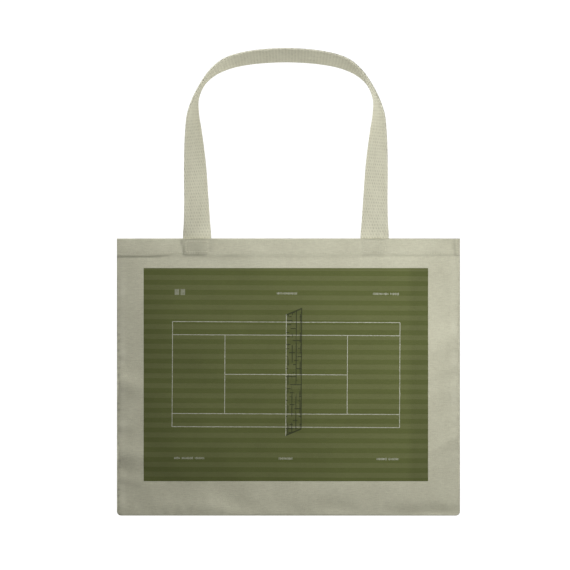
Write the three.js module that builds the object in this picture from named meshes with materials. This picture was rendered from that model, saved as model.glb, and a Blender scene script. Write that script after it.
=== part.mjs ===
// A flat canvas tote bag for rackets and court kit, hanging from its two webbing handles.
// Units are millimetres. X runs across the bag, -Y is the printed front and +Z is up.
// The origin is the point where a hook carries the inner edges of both handle loops.
//
// The front and back panels are sewn together inside along both sides and the bottom, and
// open at the mouth. Each panel has a turned-in hem, and each handle's two ends are sewn to
// the inner face of a hem. The front carries a printed film that shows a tennis court.
import * as THREE from "three";

// Bag body
const BAG_WIDTH = 400;
const BAG_HEIGHT = 323;
const BAG_CENTRE_X = 3; // the handles are sewn on slightly left of the bag's centre
const RIM_Z = -204; // the mouth's edge
const BOTTOM_Z = RIM_Z - BAG_HEIGHT;
const CORNER_RADIUS = 5; // bottom corners
const EDGE_OFFSET = 1.9; // a panel's outer face to the mid-plane, at the sewn edges
const BULGE = 11.1; // how much further out it is over the flat middle
const FLAT_HALF_WIDTH = 125;
const BOTTOM_ROUNDING = 90; // height over which a panel swells out from the bottom seam

// Cloth
const CANVAS = 0.8;
const PLY_GAP = 0.3; // free space left between neighbouring plies
const HEM_PLIES = 2;
const HEM_DEPTH = 20;
const HEM_HALF_WIDTH = 185;
const HEM_SWELL = 0.4; // how far the plies of the hem push the mouth's outer face out
const HEM_SWELL_RAMP = 4; // height over which it does so, below the hem
const SEAM_ALLOWANCE = 10;
const SEAM_GAP = 0.5; // between the ends of neighbouring seams
const OVERLOCK_THREAD = 0.3;
const OVERLOCK_GAP = 0.1;
const OVERLOCK_WIDTH = 5;
const SIDE_OVERLOCK_START = 25; // above the bottom, where the panels leave it room
const BOTTOM_OVERLOCK_HALF_WIDTH = 180;

// Handles
const STRAP_WIDTH = 32.6; // over the webbing's rounded edges
const STRAP_THICKNESS = 2;
const STRAP_X = 103.4; // a strap end's centre from the hanging line
const STRAP_START = 0.3; // above the rim, where the free loop begins
const INNER_EDGE_Y = 2.5; // clearance of a loop's inner edge from the mid-plane
const STRAP_STEPS = 72;

// Thread
const THREAD = 0.5;
const THREAD_GAP = 0.1;
const HEM_STITCH_DROP = 17; // below the rim
const HEM_STITCH_HALF_WIDTH = 192;
const STRAP_STITCH_WIDTH = 26;
const STRAP_STITCH_TOP = 3; // below the rim
const STRAP_STITCH_HEIGHT = 12.5;

// Print
const PRINT_WIDTH = 331; // centred between the handles' ends
const PRINT_HEIGHT = 248;
const PRINT_TOP = 34.5; // below the rim
const PRINT_FILM = 0.3;

const FRONT = -1;
const BACK = 1;
const LEFT = -1;
const RIGHT = 1;

// Half a handle's centreline from the top of the loop to the rim: X, Z and how far the webbing
// has turned, in degrees, from facing the front (0) to lying edge-on to the front (90).
const HANDLE_STATIONS = [
  [0, 9, 64.5],
  [46, 5.4, 66],
  [70.5, -1.5, 70],
  [86.3, -12, 79],
  [97.2, -25, 85],
  [105, -42, 80.5],
  [108, -60, 67.5],
  [107.6, -80, 56],
  [105.6, -122, 39.5],
  [104, -165, 30],
  [103.5, -190, 18],
  [STRAP_X, RIM_Z + STRAP_START, 0],
];

const materials = {
  canvas: new THREE.MeshStandardMaterial({ color: 0xc3c2aa, roughness: 0.95, metalness: 0 }),
  webbing: new THREE.MeshStandardMaterial({ color: 0xc9c7ae, roughness: 0.9, metalness: 0 }),
  thread: new THREE.MeshStandardMaterial({ color: 0xd2d0b8, roughness: 0.7, metalness: 0 }),
  print: new THREE.MeshStandardMaterial({ color: 0x5c6536, roughness: 0.85, metalness: 0 }),
};

// ---- Shape of the body -------------------------------------------------------------------

// Distance of a panel's outer face from the mid-plane.
function outerFace(x, z) {
  const across = Math.abs(x - BAG_CENTRE_X) - FLAT_HALF_WIDTH;
  const flank = THREE.MathUtils.clamp(across / (BAG_WIDTH / 2 - FLAT_HALF_WIDTH), 0, 1);
  const rise = THREE.MathUtils.clamp((z - BOTTOM_Z) / BOTTOM_ROUNDING, 0, 1);
  const bulge = BULGE * (1 - flank ** 2) * (1 - (1 - rise) ** 2);
  const hem = THREE.MathUtils.clamp((z - RIM_Z + HEM_DEPTH) / HEM_SWELL_RAMP + 1, 0, 1);
  return EDGE_OFFSET + bulge + HEM_SWELL * hem * (1 - flank);
}

// How far the bag's outline is drawn in on each side at a height, by the rounded corners.
function cornerInset(z) {
  const down = Math.max(0, CORNER_RADIUS - (z - BOTTOM_Z));
  return CORNER_RADIUS - Math.sqrt(CORNER_RADIUS ** 2 - down ** 2);
}

// Evenly spaced numbers from one value to another, no further apart than step.
function steps(from, to, step) {
  const count = Math.max(1, Math.ceil((to - from) / step - 1e-9));
  return Array.from({ length: count + 1 }, (_, i) => from + ((to - from) * i) / count);
}

// Columns across the bag: close together on the curved flanks and one span over the flat middle.
function columns(from, to) {
  const flat = [BAG_CENTRE_X - FLAT_HALF_WIDTH, BAG_CENTRE_X + FLAT_HALF_WIDTH];
  if (from > flat[0] && to < flat[1]) return [from, to];
  return [...steps(from, flat[0], 9.5), ...steps(flat[1], to, 9.5)];
}

// Rows up the bag: close together where it rounds in to the bottom seam.
function rows(from, to) {
  return [...steps(from, BOTTOM_Z + BOTTOM_ROUNDING, 7.5), to];
}

// A ply of cloth on one side of the bag: its outer face lies depth inside the panel's.
function ply(side, xs, zs, depth, thickness) {
  const geometry = new THREE.BoxGeometry(1, 1, 1, xs.length - 1, 1, zs.length - 1);
  const place = geometry.getAttribute("position");
  for (let i = 0; i < place.count; i++) {
    const z = zs[Math.round((place.getZ(i) + 0.5) * (zs.length - 1))];
    const flatX = xs[Math.round((place.getX(i) + 0.5) * (xs.length - 1))];
    const narrowing = 1 - cornerInset(z) / (BAG_WIDTH / 2);
    const isOuter = Math.sign(place.getY(i)) === side;
    const y = outerFace(flatX, z) - depth - (isOuter ? 0 : thickness);
    place.setXYZ(i, BAG_CENTRE_X + (flatX - BAG_CENTRE_X) * narrowing, side * y, z);
  }
  return geometry;
}

function box(x0, x1, y0, y1, z0, z1) {
  const geometry = new THREE.BoxGeometry(x1 - x0, y1 - y0, z1 - z0);
  return geometry.translate((x0 + x1) / 2, (y0 + y1) / 2, (z0 + z1) / 2);
}

// ---- Parts ---------------------------------------------------------------------------------

const bag = new THREE.Group();

function add(name, geometry, material) {
  const mesh = new THREE.Mesh(geometry, material);
  mesh.name = name;
  bag.add(mesh);
}

const HEM_OUTSIDE = CANVAS + PLY_GAP; // depth of the hem's outer face
const HEM_THICKNESS = HEM_PLIES * CANVAS;
const STRAP_OUTSIDE = HEM_OUTSIDE + HEM_THICKNESS + PLY_GAP; // depth of a strap end's outer face
const RIM_FACE = EDGE_OFFSET + BULGE + HEM_SWELL; // outer face at the mouth to the mid-plane
const STRAP_Y = RIM_FACE - STRAP_OUTSIDE - STRAP_THICKNESS / 2;

function addPanel(side, name) {
  const half = BAG_WIDTH / 2;
  const xs = columns(BAG_CENTRE_X - half, BAG_CENTRE_X + half);
  const corner = steps(BOTTOM_Z, BOTTOM_Z + CORNER_RADIUS, 1.3);
  const hem = RIM_Z - HEM_DEPTH;
  const zs = [...corner, ...rows(BOTTOM_Z + CORNER_RADIUS, hem - HEM_SWELL_RAMP).slice(1), hem, RIM_Z];
  add(name, ply(side, xs, zs, 0, CANVAS), materials.canvas);
}

function addHem(side, name) {
  const xs = columns(BAG_CENTRE_X - HEM_HALF_WIDTH, BAG_CENTRE_X + HEM_HALF_WIDTH);
  const zs = [RIM_Z - HEM_DEPTH, RIM_Z];
  add(name, ply(side, xs, zs, HEM_OUTSIDE, HEM_THICKNESS), materials.canvas);
}

function addHemThread(side, name) {
  const half = HEM_STITCH_HALF_WIDTH;
  const xs = columns(BAG_CENTRE_X - half, BAG_CENTRE_X + half);
  const z = RIM_Z - HEM_STITCH_DROP;
  const zs = [z - THREAD / 2, z + THREAD / 2];
  add(name, ply(side, xs, zs, -THREAD - THREAD_GAP, THREAD), materials.thread);
}

function addStrapEnd(side, end, name) {
  const x = end * STRAP_X;
  const zs = [RIM_Z - HEM_DEPTH, RIM_Z];
  const xs = [x - STRAP_WIDTH / 2, x + STRAP_WIDTH / 2];
  add(name, ply(side, xs, zs, STRAP_OUTSIDE, STRAP_THICKNESS), materials.webbing);
}

// The rectangle of stitching that holds a strap end, on the outer face of the panel.
function addStrapThread(side, end, name) {
  const frame = new THREE.Shape();
  const hole = new THREE.Path();
  const top = RIM_Z - STRAP_STITCH_TOP;
  const outline = (path, inset) => {
    const half = STRAP_STITCH_WIDTH / 2 - inset;
    path.moveTo(end * STRAP_X - half, top - inset);
    path.lineTo(end * STRAP_X - half, top - STRAP_STITCH_HEIGHT + inset);
    path.lineTo(end * STRAP_X + half, top - STRAP_STITCH_HEIGHT + inset);
    path.lineTo(end * STRAP_X + half, top - inset);
    path.closePath();
  };
  outline(frame, 0);
  outline(hole, THREAD);
  frame.holes.push(hole);
  const geometry = new THREE.ExtrudeGeometry(frame, { depth: THREAD, bevelEnabled: false });
  geometry.rotateX(Math.PI / 2); // the shape's Y becomes Z, and its depth runs towards -Y
  const nearest = RIM_FACE + THREAD_GAP;
  geometry.translate(0, side === FRONT ? -nearest : nearest + THREAD, 0);
  add(name, geometry, materials.thread);
}

// The turned-in edges of both panels along one side.
function addSideSeam(end, name) {
  const edge = BAG_CENTRE_X + end * (BAG_WIDTH / 2 - SEAM_GAP);
  const raw = edge - end * SEAM_ALLOWANCE;
  const z0 = BOTTOM_Z + SEAM_ALLOWANCE + 2 * SEAM_GAP;
  const z1 = RIM_Z - HEM_DEPTH - SEAM_GAP;
  const seam = box(Math.min(edge, raw), Math.max(edge, raw), -CANVAS, CANVAS, z0, z1);
  add(name, seam, materials.canvas);
}

function addBottomSeam(name) {
  const half = BAG_WIDTH / 2 - CORNER_RADIUS - SEAM_GAP;
  const z = BOTTOM_Z + SEAM_GAP;
  const x = BAG_CENTRE_X;
  add(name, box(x - half, x + half, -CANVAS, CANVAS, z, z + SEAM_ALLOWANCE), materials.canvas);
}

// The overlock thread wrapped round a seam's raw edge, as a U section with its open side at -X.
function overlock(length) {
  const inner = CANVAS + OVERLOCK_GAP;
  const outer = inner + OVERLOCK_THREAD;
  const section = new THREE.Shape();
  section.moveTo(-OVERLOCK_WIDTH, -outer);
  section.lineTo(outer - CANVAS, -outer);
  section.lineTo(outer - CANVAS, outer);
  section.lineTo(-OVERLOCK_WIDTH, outer);
  section.lineTo(-OVERLOCK_WIDTH, inner);
  section.lineTo(OVERLOCK_GAP, inner);
  section.lineTo(OVERLOCK_GAP, -inner);
  section.lineTo(-OVERLOCK_WIDTH, -inner);
  section.closePath();
  return new THREE.ExtrudeGeometry(section, { depth: length, bevelEnabled: false });
}

function addSideOverlock(end, name) {
  const z0 = BOTTOM_Z + SIDE_OVERLOCK_START;
  const geometry = overlock(RIM_Z - HEM_DEPTH - SEAM_GAP - z0);
  if (end === RIGHT) geometry.rotateZ(Math.PI);
  const raw = BAG_CENTRE_X + end * (BAG_WIDTH / 2 - SEAM_GAP - SEAM_ALLOWANCE);
  add(name, geometry.translate(raw, 0, z0), materials.thread);
}

function addBottomOverlock(name) {
  const half = BOTTOM_OVERLOCK_HALF_WIDTH;
  const geometry = overlock(2 * half);
  geometry.rotateY(-Math.PI / 2); // the raw edge faces +Z and the length runs towards -X
  const raw = BOTTOM_Z + SEAM_GAP + SEAM_ALLOWANCE;
  add(name, geometry.translate(BAG_CENTRE_X + half, 0, raw), materials.thread);
}

// A free handle loop: flat webbing swept along the stations, turning as it goes.
function addHandle(side, name) {
  const whole = [
    ...HANDLE_STATIONS.slice(1).reverse().map(([x, z, turn]) => [-x, z, turn]),
    ...HANDLE_STATIONS,
  ];
  const half = STRAP_WIDTH / 2;
  const centres = whole.map(([x, z, turn]) => {
    const swing = half * Math.sin(THREE.MathUtils.degToRad(turn));
    return new THREE.Vector3(x, side * Math.max(STRAP_Y, INNER_EDGE_Y + swing), z);
  });
  const line = new THREE.CatmullRomCurve3(centres, false, "centripetal");
  const turns = new THREE.CatmullRomCurve3(
    whole.map(([, , turn]) => new THREE.Vector3(turn, 0, 0)), false, "catmullrom", 0.5,
  );
  const up = new THREE.Vector3(0, 0, 1);
  const geometry = new THREE.BoxGeometry(
    STRAP_WIDTH, STRAP_THICKNESS, 1, 2, 1, STRAP_STEPS,
  );
  const place = geometry.getAttribute("position");
  for (let i = 0; i < place.count; i++) {
    const along = place.getZ(i) + 0.5;
    const t = line.getUtoTmapping(along);
    const centre = line.getPoint(t);
    const atEnd = along < 1e-6 || along > 1 - 1e-6;
    const tangent = atEnd ? up.clone().multiplyScalar(along < 0.5 ? 1 : -1) : line.getTangent(t);
    const turn = THREE.MathUtils.degToRad(turns.getPoint(t).x);
    const inward = new THREE.Vector3(tangent.z, 0, -tangent.x).normalize();
    const across = inward.multiplyScalar(Math.cos(turn));
    across.y = -side * Math.sin(turn);
    across.addScaledVector(tangent, -across.dot(tangent)).normalize();
    const through = new THREE.Vector3().crossVectors(tangent, across);
    centre.addScaledVector(across, place.getX(i)).addScaledVector(through, place.getY(i));
    place.setXYZ(i, centre.x, centre.y, centre.z);
  }
  add(name, geometry, materials.webbing);
}

function addPrint(name) {
  const xs = columns(-PRINT_WIDTH / 2, PRINT_WIDTH / 2);
  const top = RIM_Z - PRINT_TOP;
  const zs = rows(top - PRINT_HEIGHT, top);
  add(name, ply(FRONT, xs, zs, -PLY_GAP - PRINT_FILM, PRINT_FILM), materials.print);
}

for (const [side, word] of [[FRONT, "front"], [BACK, "back"]]) {
  addPanel(side, `${word}_panel`);
  addHem(side, `${word}_hem`);
  addHemThread(side, `${word}_hem_thread`);
  addHandle(side, `${word}_handle_loop`);
  for (const [end, hand] of [[LEFT, "left"], [RIGHT, "right"]]) {
    addStrapEnd(side, end, `${word}_handle_end_${hand}`);
    addStrapThread(side, end, `${word}_handle_thread_${hand}`);
  }
}
for (const [end, hand] of [[LEFT, "left"], [RIGHT, "right"]]) {
  addSideSeam(end, `${hand}_side_seam`);
  addSideOverlock(end, `${hand}_overlock_thread`);
}
addBottomSeam("bottom_seam");
addBottomOverlock("bottom_overlock_thread");
addPrint("court_print");

export default bag;
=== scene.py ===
import math

import bpy
import numpy as np
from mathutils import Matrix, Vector


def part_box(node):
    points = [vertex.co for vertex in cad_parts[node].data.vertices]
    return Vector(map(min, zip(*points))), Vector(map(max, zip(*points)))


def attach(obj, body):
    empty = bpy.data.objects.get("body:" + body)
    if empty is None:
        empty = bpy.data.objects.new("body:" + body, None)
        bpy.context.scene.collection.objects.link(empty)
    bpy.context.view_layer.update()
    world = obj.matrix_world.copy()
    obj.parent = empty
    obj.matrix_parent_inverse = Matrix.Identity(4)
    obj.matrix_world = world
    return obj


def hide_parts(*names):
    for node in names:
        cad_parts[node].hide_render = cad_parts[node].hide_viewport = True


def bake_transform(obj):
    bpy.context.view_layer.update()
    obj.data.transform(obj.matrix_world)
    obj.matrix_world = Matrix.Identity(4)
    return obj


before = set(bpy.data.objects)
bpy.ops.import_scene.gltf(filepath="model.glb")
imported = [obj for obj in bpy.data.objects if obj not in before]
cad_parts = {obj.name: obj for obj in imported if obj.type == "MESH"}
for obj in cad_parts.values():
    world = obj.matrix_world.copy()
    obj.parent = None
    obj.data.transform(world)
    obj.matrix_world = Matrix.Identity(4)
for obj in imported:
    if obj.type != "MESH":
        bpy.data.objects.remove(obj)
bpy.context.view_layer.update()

MM = 0.001
FRONT, BACK = -1, 1
LEFT, RIGHT = -1, 1
SIDE_WORDS = {FRONT: "front", BACK: "back"}
END_WORDS = {LEFT: "left", RIGHT: "right"}


# ---- Places and sizes, from the frame ----

PANEL_LOW, PANEL_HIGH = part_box("front_panel")
PRINT_LOW, PRINT_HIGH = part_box("court_print")
STRAP_LOW, STRAP_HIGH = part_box("front_handle_end_right")
FRAME_LOW, FRAME_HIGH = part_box("front_handle_thread_right")
STITCH_LOW, STITCH_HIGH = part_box("front_hem_thread")

CENTRE_X = (PANEL_LOW.x + PANEL_HIGH.x) / 2
HALF_WIDTH = (PANEL_HIGH.x - PANEL_LOW.x) / 2
RIM = PANEL_HIGH.z
BOTTOM = PANEL_LOW.z
HEM_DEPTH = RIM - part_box("front_hem")[0].z
STITCH_Z = (STITCH_LOW.z + STITCH_HIGH.z) / 2
STRAP_X = (STRAP_LOW.x + STRAP_HIGH.x) / 2
STRAP_Y = -(STRAP_LOW.y + STRAP_HIGH.y) / 2
STRAP_WIDTH = STRAP_HIGH.x - STRAP_LOW.x
STRAP_THICKNESS = STRAP_HIGH.y - STRAP_LOW.y

CANVAS = 0.8 * MM
HEM_THICKNESS = 2.7 * MM  # the panel and the two plies turned in behind it
FLAT_HALF_WIDTH = 125 * MM  # the panels' middles lie parallel over this much on each side
CORNER_RADIUS = 5 * MM
EDGE_OFFSET = 1.9 * MM  # the outer faces' distance from the mid-plane near the seams
BULGE = 11.1 * MM  # how much further out they are in the middle
HEM_SWELL = 0.4 * MM
BOTTOM_ROUNDING = 90 * MM  # the height over which the bulge grows from the bottom seam
ROLL = 2 * MM  # how far in from its sewn edge a panel rolls over to face outwards
ROLL_START = 0.3 * MM
SEAM_ALLOWANCE = 10 * MM


# ---- Camera, lights and floor ----

VIEW_PLACE = (-0.001, -6.0, -0.2582)
SENSOR = 36
LENS = 325.1
SKY_SEEN = 1.1
SKY_LIGHT = 0.03
FLOOR_HEIGHT = -0.9
FLOOR_RADIUS = 1.2
FLOOR_SIDES = 64
FLOOR_COLOUR = (0.8, 0.8, 0.79, 1)
FLOOR_GLOW = 0.75
BODY_AIM = (0, 0, -0.3)
HANDLE_AIM = (0, 0, -0.1)
LIGHTS = [  # name, place, the point it faces, diameter, and power in watts
    ("key", (0.6, -0.5, -0.1), BODY_AIM, 0.3, 0.7),
    ("top", (-0.35, -0.35, 0.4), BODY_AIM, 0.2, 3.25),
    ("front", (0.25, -0.5, -0.25), BODY_AIM, 0.25, 1.65),
    ("left_edge", (-1.0, 0.42, -0.4), HANDLE_AIM, 0.4, 5),
    ("right_edge", (1.0, 0.42, -0.4), HANDLE_AIM, 0.4, 5),
    ("back_fill", (-0.7, 1.5, 0.3), BODY_AIM, 1.2, 20),
]


def add_object(name, data):
    made = bpy.data.objects.new(name, data)
    bpy.context.scene.collection.objects.link(made)
    return made


def add_camera():
    data = bpy.data.cameras.new("camera")
    data.sensor_width = SENSOR
    data.lens = LENS
    camera = add_object("camera", data)
    camera.location = VIEW_PLACE
    camera.rotation_euler = (math.radians(90), 0, 0)
    bpy.context.scene.camera = camera


def add_light(name, place, target, diameter, power):
    data = bpy.data.lights.new(name, "AREA")
    data.shape = "DISK"
    data.size = diameter
    data.energy = power
    light = add_object(name, data)
    light.location = place
    aim = Vector(target) - Vector(place)
    light.rotation_euler = aim.to_track_quat("-Z", "Y").to_euler()
    light.visible_camera = False


def add_world():
    """White to the camera, and a weaker even light on the object."""
    world = bpy.data.worlds.new("studio")
    world.use_nodes = True
    nodes, links = world.node_tree.nodes, world.node_tree.links
    nodes.clear()
    seen = nodes.new("ShaderNodeBackground")
    seen.inputs["Color"].default_value = (1, 1, 1, 1)
    seen.inputs["Strength"].default_value = SKY_SEEN
    lighting = nodes.new("ShaderNodeBackground")
    lighting.inputs["Strength"].default_value = SKY_LIGHT
    path = nodes.new("ShaderNodeLightPath")
    mix = nodes.new("ShaderNodeMixShader")
    out = nodes.new("ShaderNodeOutputWorld")
    links.new(path.outputs["Is Camera Ray"], mix.inputs[0])
    links.new(lighting.outputs[0], mix.inputs[1])
    links.new(seen.outputs[0], mix.inputs[2])
    links.new(mix.outputs[0], out.inputs["Surface"])
    bpy.context.scene.world = world
    bpy.context.scene.view_settings.view_transform = "Standard"


def add_floor():
    """A pale floor. Its glow, seen only by the camera, doesn't light the object."""
    ring = np.linspace(0, 2 * math.pi, FLOOR_SIDES, endpoint=False)
    mesh = bpy.data.meshes.new("floor")
    points = [(FLOOR_RADIUS * math.cos(a), FLOOR_RADIUS * math.sin(a), FLOOR_HEIGHT) for a in ring]
    mesh.from_pydata(points, [], [list(range(len(points)))])
    material = bpy.data.materials.new("floor")
    material.use_nodes = True
    nodes, links = material.node_tree.nodes, material.node_tree.links
    surface = nodes["Principled BSDF"]
    surface.inputs["Base Color"].default_value = FLOOR_COLOUR
    surface.inputs["Roughness"].default_value = 0.9
    surface.inputs["Emission Color"].default_value = FLOOR_COLOUR
    path = nodes.new("ShaderNodeLightPath")
    glow = nodes.new("ShaderNodeMath")
    glow.operation = "MULTIPLY"
    glow.inputs[1].default_value = FLOOR_GLOW
    links.new(path.outputs["Is Camera Ray"], glow.inputs[0])
    links.new(glow.outputs[0], surface.inputs["Emission Strength"])
    mesh.materials.append(material)
    add_object("floor", mesh)


add_camera()
add_world()
add_floor()
for light in LIGHTS:
    add_light(*light)


# ---- Mesh building ----

def mesh_object(name, points, faces, material, weave, tones=None, crease=60):
    """A smooth closed mesh of four-sided faces. weave holds each point's place in the cloth, for
    the materials, and tones how much lighter it is there, or darker if negative. Edges sharper
    than crease degrees stay sharp."""
    points = np.asarray(points, float)
    mesh = bpy.data.meshes.new(name)
    mesh.from_pydata(points.tolist(), [], faces)
    a, b, c = (points[[f[i] for f in faces]] for i in (0, 1, 2))
    d = points[[f[-1] for f in faces]]
    volume = np.einsum("ij,ij->i", a, np.cross(b, c)).sum()
    volume += np.einsum("ij,ij->i", a, np.cross(c, d)).sum()
    if volume < 0:
        mesh.flip_normals()
    mesh.shade_smooth()
    mesh.set_sharp_from_angle(angle=math.radians(crease))
    place = mesh.attributes.new("weave", "FLOAT_VECTOR", "POINT")
    place.data.foreach_set("vector", np.asarray(weave, np.float32).ravel())
    shade = mesh.attributes.new("tone", "FLOAT", "POINT")
    level = np.zeros(len(points)) if tones is None else np.asarray(tones).ravel()
    shade.data.foreach_set("value", level.astype(np.float32))
    mesh.materials.append(material)
    return add_object(name, mesh)


def loft_faces(rows, count, start=0):
    """Faces of a closed tube through rows of count points each. Each end is filled in strips that
    join point i to point count - 1 - i."""
    faces = []
    for r in range(rows - 1):
        for i in range(count):
            j = (i + 1) % count
            a, b = start + r * count, start + (r + 1) * count
            faces.append((a + i, a + j, b + j, b + i))
    for r, turn in ((0, 1), (rows - 1, -1)):
        for i in range(count // 2 - 1):
            a = start + r * count
            strip = (a + i, a + count - 1 - i, a + count - 2 - i, a + i + 1)
            faces.append(strip[::turn])
    return faces


def loft(name, loops, material, weave, tones=None, crease=60):
    """A closed tube through loops of points."""
    faces = loft_faces(*loops.shape[:2])
    return mesh_object(name, loops.reshape(-1, 3), faces, material, weave, tones, crease)


def several_lofts(name, tubes, material):
    """Many separate tubes of the same number of rows and points, as one piece."""
    count, rows, around = tubes.shape[:3]
    faces = []
    for n in range(count):
        faces += loft_faces(rows, around, n * rows * around)
    parts = np.arange(count), np.arange(rows) * MM, np.arange(around) / around
    number, along, turn = np.meshgrid(*parts, indexing="ij")
    weave = np.stack([along, turn, number], -1)
    return mesh_object(name, tubes.reshape(-1, 3), faces, material, weave, crease=70)


def steps(start, end, step):
    """Evenly spaced numbers from start to end, no further apart than step."""
    spans = math.ceil(abs(end - start) / step - 1e-9)
    return np.linspace(start, end, max(1, spans) + 1)


def out_and_back(outer, inner):
    """Rows of points that run along one face of a sheet and back along the other."""
    return np.concatenate([outer, inner[:, ::-1]], 1)


def chain(*runs):
    """Runs of numbers joined end to end, without the numbers that they share."""
    joined = [runs[0]] + [run[1:] for run in runs[1:]]
    return np.concatenate(joined)


def smooth(low, high, value):
    """Eases from 0 at low to 1 at high, whichever of the two is the larger."""
    t = np.clip((value - low) / (high - low), 0, 1)
    return t * t * (3 - 2 * t)


def hump(value, centre, width):
    """A bell of height 1, down to 1/e at width from its centre."""
    return np.exp(-(((value - centre) / width) ** 2))


def ripples(seed, count, shortest, longest, spread=math.pi, heading=0.0):
    """A smooth field over the cloth, mostly within -1 to 1: the sum of waves whose directions are
    spread evenly about a heading, an angle from X."""
    draw = np.random.default_rng(seed)
    turn = heading + draw.uniform(-spread / 2, spread / 2, count)
    rate = 2 * math.pi / draw.uniform(shortest, longest, count)
    phase = draw.uniform(0, 2 * math.pi, count)

    def field(x, z):
        along = [x * math.cos(a) + z * math.sin(a) for a in turn]
        waves = [np.sin(k * u + p) for k, u, p in zip(rate, along, phase)]
        return sum(waves) / math.sqrt(count)

    return field


# ---- Shape of the cloth ----

UPWARDS = math.pi / 2
SOFT_FOLDS = {FRONT: ripples(3, 7, 90 * MM, 220 * MM), BACK: ripples(11, 7, 80 * MM, 200 * MM)}
SMALL_DENTS = {FRONT: ripples(5, 9, 14 * MM, 45 * MM), BACK: ripples(13, 9, 14 * MM, 45 * MM)}
HEM_DENTS = {FRONT: ripples(41, 7, 16 * MM, 42 * MM, 2.0), BACK: ripples(42, 7, 16 * MM, 42 * MM, 2.0)}
SIDE_PUCKERS = {
    (FRONT, LEFT): ripples(21, 5, 8 * MM, 17 * MM, 0.8, UPWARDS),
    (FRONT, RIGHT): ripples(22, 5, 9 * MM, 19 * MM, 0.8, UPWARDS),
    (BACK, LEFT): ripples(23, 5, 8 * MM, 17 * MM, 0.8, UPWARDS),
    (BACK, RIGHT): ripples(24, 5, 8 * MM, 17 * MM, 0.8, UPWARDS),
}
BOTTOM_PUCKERS = {
    FRONT: ripples(31, 5, 12 * MM, 30 * MM, 0.6),
    BACK: ripples(32, 5, 12 * MM, 30 * MM, 0.6),
}
BOTTOM_FOLDS = {
    FRONT: ripples(35, 5, 50 * MM, 120 * MM, 1.2, 0.7),
    BACK: ripples(36, 5, 50 * MM, 120 * MM, 1.2),
}
SEAM_TICKS = ripples(51, 5, 5 * MM, 11 * MM, 0.8, UPWARDS)

SOFT_FOLD_HEIGHT = 1.4 * MM
DENT_HEIGHT = 0.07 * MM
SIDE_PUCKER_HEIGHT = {LEFT: 0.45 * MM, RIGHT: 0.3 * MM}
BOTTOM_PUCKER_HEIGHT = 0.3 * MM
BOTTOM_FOLD_HEIGHT = 2.4 * MM
ALLOWANCE_RIDGE = 0.25 * MM
HEM_STEP_HEIGHT = 0.5 * MM
HEM_GROOVE = 0.18 * MM
STITCH_GROOVE = 0.08 * MM

# Folds that run in from a side seam, in millimetres: drop below the rim, height, half width and
# how far they reach.
SIDE_FOLDS = {
    (FRONT, LEFT): [
        (132, 0.9, 9, 14), (167, 4.5, 13, 40), (216, 1.6, 7, 18), (248, 4.8, 13, 44),
        (278, 2.4, 7, 28),
    ],
    (FRONT, RIGHT): [
        (108, 3, 15, 45), (144, 1.3, 7, 34), (170, 1.2, 8, 24), (206, 1.0, 8, 16),
        (230, 2, 8, 34),
    ],
    (BACK, LEFT): [
        (110, 0.9, 9, 14), (160, 1.4, 12, 22), (205, 2.8, 13, 32), (246, 1.6, 10, 24),
        (290, 1.2, 8, 20),
    ],
    (BACK, RIGHT): [(140, 1.1, 10, 18), (188, 2.9, 14, 32), (232, 1.6, 9, 24), (270, 2.4, 12, 28)],
}
FOLD_LEAN = {LEFT: 0.2, RIGHT: 0.5}  # how much a side fold falls as it runs in

# Creases pressed in by sewing, in millimetres: X and drop below the rim of both ends, half width
# and depth.
CREASES = {
    FRONT: [
        (-121.2, 3, -118.3, 18, 1.7, 0.45),
        (196, 3, 197.5, 19, 1.8, 0.3),
        (-87, 1, -87.3, 14, 2.4, 0.17),
    ],
    BACK: [(88, 2, 86, 18, 1.8, 0.25), (-190, 4, -192, 20, 2.0, 0.25)],
}

# A strap end stands out through the hem over this span of X, measured from its middle.
IMPRINT_SPAN = (-15 * MM, 11 * MM)
IMPRINT_HEIGHT = {LEFT: 0.4 * MM, RIGHT: 0.25 * MM}
IMPRINT_EDGE = 3 * MM

# Seen from outside, a panel's bottom is turned under a little at this distance right of the middle.
TUCK_X = 168 * MM
TUCK_WIDTH = 45 * MM
TUCK_DEPTH = 2.2 * MM

# How much lighter the cloth is along the rim, and by a painted highlight on the ridges over the
# seams; how much darker it is by painted shade along the hem line, the rim beside the straps, the
# edges, the tuck, the strap imprints and the puckers by the seams, and by the tacks' marks, from 0 to
# 1.
LIGHTER_RIM, SEAM_HIGHLIGHT = 0.12, 0.26
SHADE_HEM_LINE, SHADE_RIM, GREY_TACKS = 0.46, 0.42, 0.4
SHADE_EDGE, SHADOW_TUCK = 0.22, 0.09
SHADE_IMPRINT = {LEFT: 0.19, RIGHT: 0.09}
# An imprint's lower edge is a painted shadow, this many times darker than the painted shade over it.
FOOT_SHADOW_RATIO = 1.7  # how many times greyer an imprint's lower edge is
SHADE_TICKS = {LEFT: 0.4, RIGHT: 0.15}
TACK_WAVE = 0.42 * MM  # the length of a radian of the row of tacks


def from_nearer_side(x):
    return HALF_WIDTH - np.abs(x - CENTRE_X)


def from_seam(end, x):
    return np.clip(HALF_WIDTH - end * (x - CENTRE_X), 0, None)


def corner_inset(z):
    """How far the outline is drawn in on each side at a height, by the rounded bottom corners."""
    down = np.clip(CORNER_RADIUS - (z - BOTTOM), 0, CORNER_RADIUS)
    return CORNER_RADIUS - np.sqrt(CORNER_RADIUS**2 - down**2)


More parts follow.
